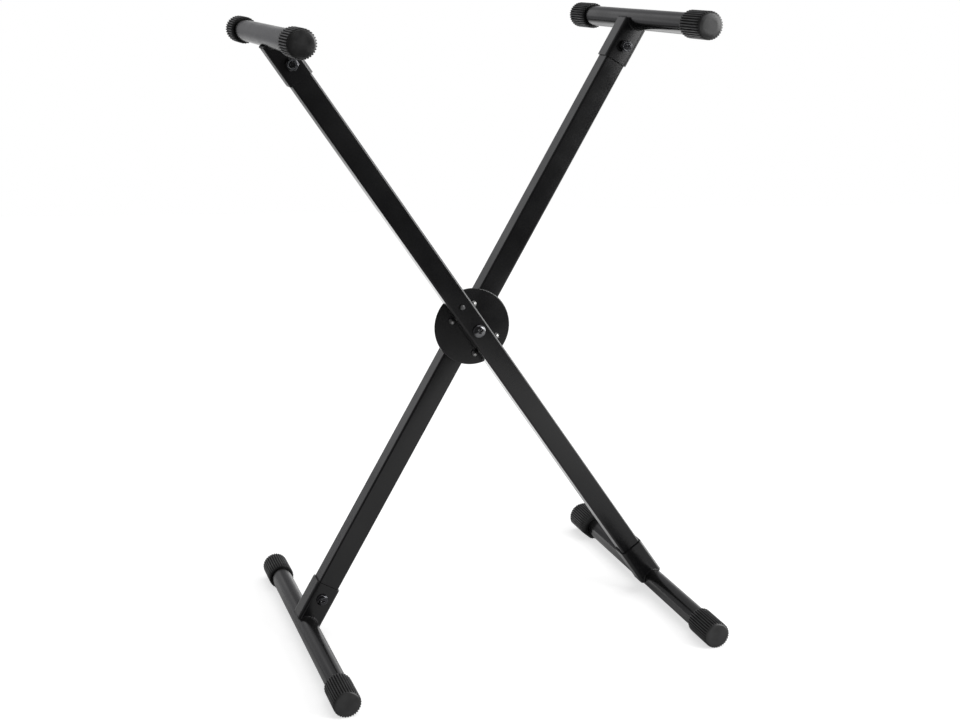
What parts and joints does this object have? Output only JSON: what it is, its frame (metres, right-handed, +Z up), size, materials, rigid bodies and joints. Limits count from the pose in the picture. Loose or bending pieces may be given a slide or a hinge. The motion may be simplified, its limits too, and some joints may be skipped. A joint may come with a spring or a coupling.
{
  "type": "keyboard stand",
  "caption": "X-style folding keyboard stand: crossed square steel legs on a disc-and-pin pivot, round support arms and feet with ribbed rubber end caps.",
  "frame": {"origin": "on the floor, midway between the four feet, under the pivot", "axes": "+Z up, Y along the support arms and feet with -Y on the side of the front leg, X across the width"},
  "size_m": [0.5784, 0.522, 0.8899],
  "materials": {
    "powder_coated_steel": "satin",
    "plated_steel": "satin",
    "black_plated_steel": "satin",
    "spring_steel": "satin",
    "cap_rubber": "matte",
    "nylon": "matte",
    "knob_plastic": "gloss"
  },
  "bodies": {
    "back_leg": {"back_leg_tube": "powder_coated_steel", "back_arm_tube": "powder_coated_steel", "back_foot_tube": "powder_coated_steel", "back_arm_sleeve": "powder_coated_steel", "back_foot_sleeve": "powder_coated_steel", "back_arm_cap_front": "cap_rubber", "back_arm_cap_rear": "cap_rubber", "back_foot_cap_front": "cap_rubber", "back_foot_cap_rear": "cap_rubber", "back_arm_screw": "black_plated_steel", "back_arm_nut": "black_plated_steel", "back_foot_screw": "black_plated_steel", "back_foot_nut": "black_plated_steel", "back_pivot_spacer": "plated_steel", "lock_housing": "black_plated_steel", "lock_spring": "spring_steel"},
    "front_leg": {"front_leg_tube": "powder_coated_steel", "front_arm_tube": "powder_coated_steel", "front_foot_tube": "powder_coated_steel", "front_arm_sleeve": "powder_coated_steel", "front_foot_sleeve": "powder_coated_steel", "front_arm_cap_front": "cap_rubber", "front_arm_cap_rear": "cap_rubber", "front_foot_cap_front": "cap_rubber", "front_arm_screw": "black_plated_steel", "front_arm_nut": "black_plated_steel", "front_foot_screw": "black_plated_steel", "front_foot_rivet_nut": "black_plated_steel", "front_pivot_spacer": "plated_steel", "lock_disc": "powder_coated_steel", "disc_dowel": "black_plated_steel", "pivot_screw": "plated_steel", "pivot_slip_washer": "nylon", "pivot_rear_washer": "plated_steel", "pivot_lock_nut": "plated_steel"},
    "levelling_foot": {"levelling_foot_cap": "cap_rubber"},
    "lock": {"lock_pin": "plated_steel", "lock_knob": "knob_plastic"}
  },
  "joints": [
    {"name": "leg_hinge", "type": "hinge", "parent": "back_leg", "child": "front_leg", "pos_m": [0, 0, 0.44286], "axis": [0, 1, 0], "range_deg": [-39, 58.5]},
    {"name": "levelling_turn", "type": "hinge", "parent": "front_leg", "child": "levelling_foot", "pos_m": [0.26734, 0.232, 0.01915], "axis": [0, 1, 0], "continuous": true},
    {"name": "pin_slide", "type": "slide", "parent": "back_leg", "child": "lock", "axis": [0, -1, 0], "range_m": [0, 0.0034]}
  ]
}
